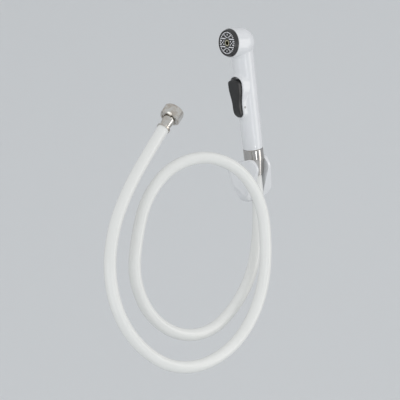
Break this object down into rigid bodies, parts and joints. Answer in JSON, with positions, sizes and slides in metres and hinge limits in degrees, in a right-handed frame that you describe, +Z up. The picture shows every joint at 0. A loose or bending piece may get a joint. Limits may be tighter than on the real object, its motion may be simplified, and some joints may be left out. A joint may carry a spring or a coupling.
{
  "type": "handheld bidet shower",
  "caption": "White handheld bidet shower with a thumb lever and small round spray head, standing in its wall holder, with a looped white hose that ends in a nut.",
  "frame": {"origin": "centre of the wall holder's flat back, in the wall's plane, midway between its two screw holes", "axes": "+Z up, +Y into the wall, -Y out into the room, +X to the right when one faces the wall"},
  "size_m": [0.2921, 0.0787, 0.3614],
  "materials": {
    "white_plastic": "glossy white ABS, clean",
    "hose_pvc": "smooth white PVC, semi-gloss",
    "black_lever": "satin black",
    "dark_bezel": "dark, semi-gloss",
    "black_plate": "black, slightly shiny",
    "nozzle_rubber": "light grey soft nozzles",
    "seal_rubber": "black rubber",
    "inner_plastic": "natural plastic",
    "centre_brass": "bare brass",
    "valve_brass": "bare brass",
    "steel": "plain stainless",
    "chrome": "polished chrome plating",
    "nickel": "satin nickel plating"
  },
  "bodies": {
    "base": {"wall_holder": "white_plastic", "handset_body": "white_plastic", "spray_bezel": "dark_bezel", "spray_plate": "black_plate", "nozzle_mat": "nozzle_rubber", "face_backing": "inner_plastic", "face_seal": "seal_rubber", "centre_nozzle": "centre_brass", "centre_clip": "steel", "trigger_pin": "steel", "valve_body": "valve_brass", "valve_spring": "steel", "valve_plug": "valve_brass", "valve_oring": "seal_rubber", "feed_tube": "inner_plastic", "riser_tube": "inner_plastic", "inlet_connector": "valve_brass", "connector_seal": "seal_rubber", "inlet_filter": "inner_plastic", "inlet_washer": "seal_rubber", "cone_nut": "chrome", "hose_stem": "valve_brass", "hose": "hose_pvc", "end_stem": "nickel"},
    "trigger": {"trigger_lever": "black_lever"},
    "plunger": {"valve_plunger": "valve_brass", "valve_disc": "seal_rubber"},
    "end_nut": {"end_nut": "nickel", "end_washer": "seal_rubber"}
  },
  "joints": [
    {"name": "trigger_hinge", "type": "hinge", "parent": "base", "child": "trigger", "pos_m": [-0.01188, -0.04022, 0.08862], "axis": [0.0558, 0.9595, 0.276], "range_deg": [0, 6.5], "stiffness_Nm_per_rad": 0.857, "springref_deg": -6.88},
    {"name": "plunger_slide", "type": "slide", "parent": "base", "child": "plunger", "axis": [0.9984, -0.0536, -0.0154], "range_m": [0, 0.00235], "deforming": ["valve_spring"]},
    {"name": "end_nut_swivel", "type": "hinge", "parent": "base", "child": "end_nut", "pos_m": [-0.1225, -0.029, 0.093], "axis": [0.8285, -0.0215, 0.5595], "continuous": true}
  ],
  "couplings": [
    {"joint": "plunger_slide", "follows": "trigger_hinge", "m_per_rad": 0.0207}
  ]
}
